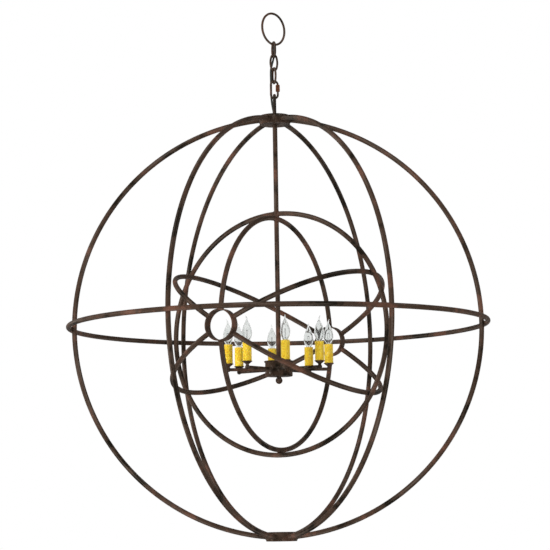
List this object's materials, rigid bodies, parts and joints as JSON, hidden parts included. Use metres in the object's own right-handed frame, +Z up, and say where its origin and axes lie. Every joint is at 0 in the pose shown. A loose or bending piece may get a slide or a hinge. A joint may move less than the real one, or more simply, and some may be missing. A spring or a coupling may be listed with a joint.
{
  "type": "orb chandelier",
  "caption": "Open orb chandelier of bent round bar: an outer cage, an armillary inner orb with open node bands, candle lights on straight arms, hung by chain from a ring.",
  "frame": {"origin": "inside top of the hanging ring, where a ceiling hook bears", "axes": "+Z up along the hanging axis, +X to the right of the pictured side, +Y to the back"},
  "size_m": [1.219, 1.2192, 1.542],
  "materials": {
    "rust_iron": "matt dark brown rust finish with redder and greyer patches",
    "collar_iron": "matt orange-brown rust finish",
    "candle_resin": "satin yellow resin with amber mottling",
    "lamp_glass": "clear blown glass",
    "lamp_brass": "satin",
    "holder_plastic": "matt black moulding",
    "filament_wire": "bright wire on a glass pillar",
    "lead_insulation": "matt black insulation",
    "wire_nut_plastic": "glossy orange moulding",
    "nipple_steel": "plain zinc-plated thread",
    "cord_jacket": "matt near-black jacket"
  },
  "bodies": {
    "hanging_ring": {"hanging_ring": "rust_iron"},
    "link_1": {"chain_link_1": "rust_iron"},
    "link_2": {"chain_link_2": "rust_iron"},
    "link_3": {"chain_link_3": "rust_iron"},
    "connector": {"connector_link": "rust_iron"},
    "collar": {"connector_collar": "collar_iron"},
    "fixture": {"arm_1": "rust_iron", "arm_2": "rust_iron", "arm_3": "rust_iron", "arm_4": "rust_iron", "arm_5": "rust_iron", "arm_6": "rust_iron", "arm_7": "rust_iron", "arm_8": "rust_iron", "bottom_hub": "rust_iron", "bottom_hub_plate": "rust_iron", "candle_cups": "rust_iron", "candle_necks": "rust_iron", "candle_sleeve_1": "candle_resin", "candle_sleeve_2": "candle_resin", "candle_sleeve_3": "candle_resin", "candle_sleeve_4": "candle_resin", "candle_sleeve_5": "candle_resin", "candle_sleeve_6": "candle_resin", "candle_sleeve_7": "candle_resin", "candle_sleeve_8": "candle_resin", "cluster_body": "rust_iron", "cluster_cover": "rust_iron", "cord_bushing": "cord_jacket", "equator_hoop": "rust_iron", "finial": "rust_iron", "inner_hoop": "rust_iron", "lamp_caps": "lamp_brass", "lamp_filaments": "filament_wire", "lamp_glasses": "lamp_glass", "lamp_holders": "holder_plastic", "lamp_leads": "lead_insulation", "lower_arc": "rust_iron", "node_band_back": "rust_iron", "node_band_front": "rust_iron", "rib_1": "rust_iron", "rib_2": "rust_iron", "rib_3": "rust_iron", "rib_4": "rust_iron", "rib_5": "rust_iron", "rib_6": "rust_iron", "slant_arc_falling_left": "rust_iron", "slant_arc_falling_right": "rust_iron", "slant_arc_rising_left": "rust_iron", "slant_arc_rising_right": "rust_iron", "stem": "rust_iron", "supply_cord": "cord_jacket", "threaded_nipples": "nipple_steel", "top_hub": "rust_iron", "top_hub_plate": "rust_iron", "top_loop": "rust_iron", "upper_arc_back": "rust_iron", "upper_arc_front": "rust_iron", "wire_nuts": "wire_nut_plastic"}
  },
  "joints": [
    {"name": "link_1_swing", "type": "hinge", "parent": "hanging_ring", "child": "link_1", "pos_m": [0, 0, -0.0904], "axis": [-0.9063, -0.4226, 0], "range_deg": [-35, 35]},
    {"name": "link_2_swing", "type": "hinge", "parent": "link_1", "child": "link_2", "pos_m": [0, 0, -0.1292], "axis": [-0.2924, 0.9563, 0], "range_deg": [-35, 35], "deforming": ["supply_cord"]},
    {"name": "link_3_swing", "type": "hinge", "parent": "link_2", "child": "link_3", "pos_m": [0, 0, -0.168], "axis": [-0.9063, -0.4226, 0], "range_deg": [-35, 35], "deforming": ["supply_cord"]},
    {"name": "connector_swing", "type": "hinge", "parent": "link_3", "child": "connector", "pos_m": [0, 0, -0.2094], "axis": [-0.2588, 0.9659, 0], "range_deg": [-35, 35], "deforming": ["supply_cord"]},
    {"name": "fixture_swing", "type": "hinge", "parent": "connector", "child": "fixture", "pos_m": [0, 0, -0.2555], "axis": [-1, 0, 0], "range_deg": [-35, 35], "deforming": ["supply_cord"]},
    {"name": "collar_slide", "type": "slide", "parent": "connector", "child": "collar", "axis": [0, 0, 1], "range_m": [-0.0095, 0]}
  ]
}
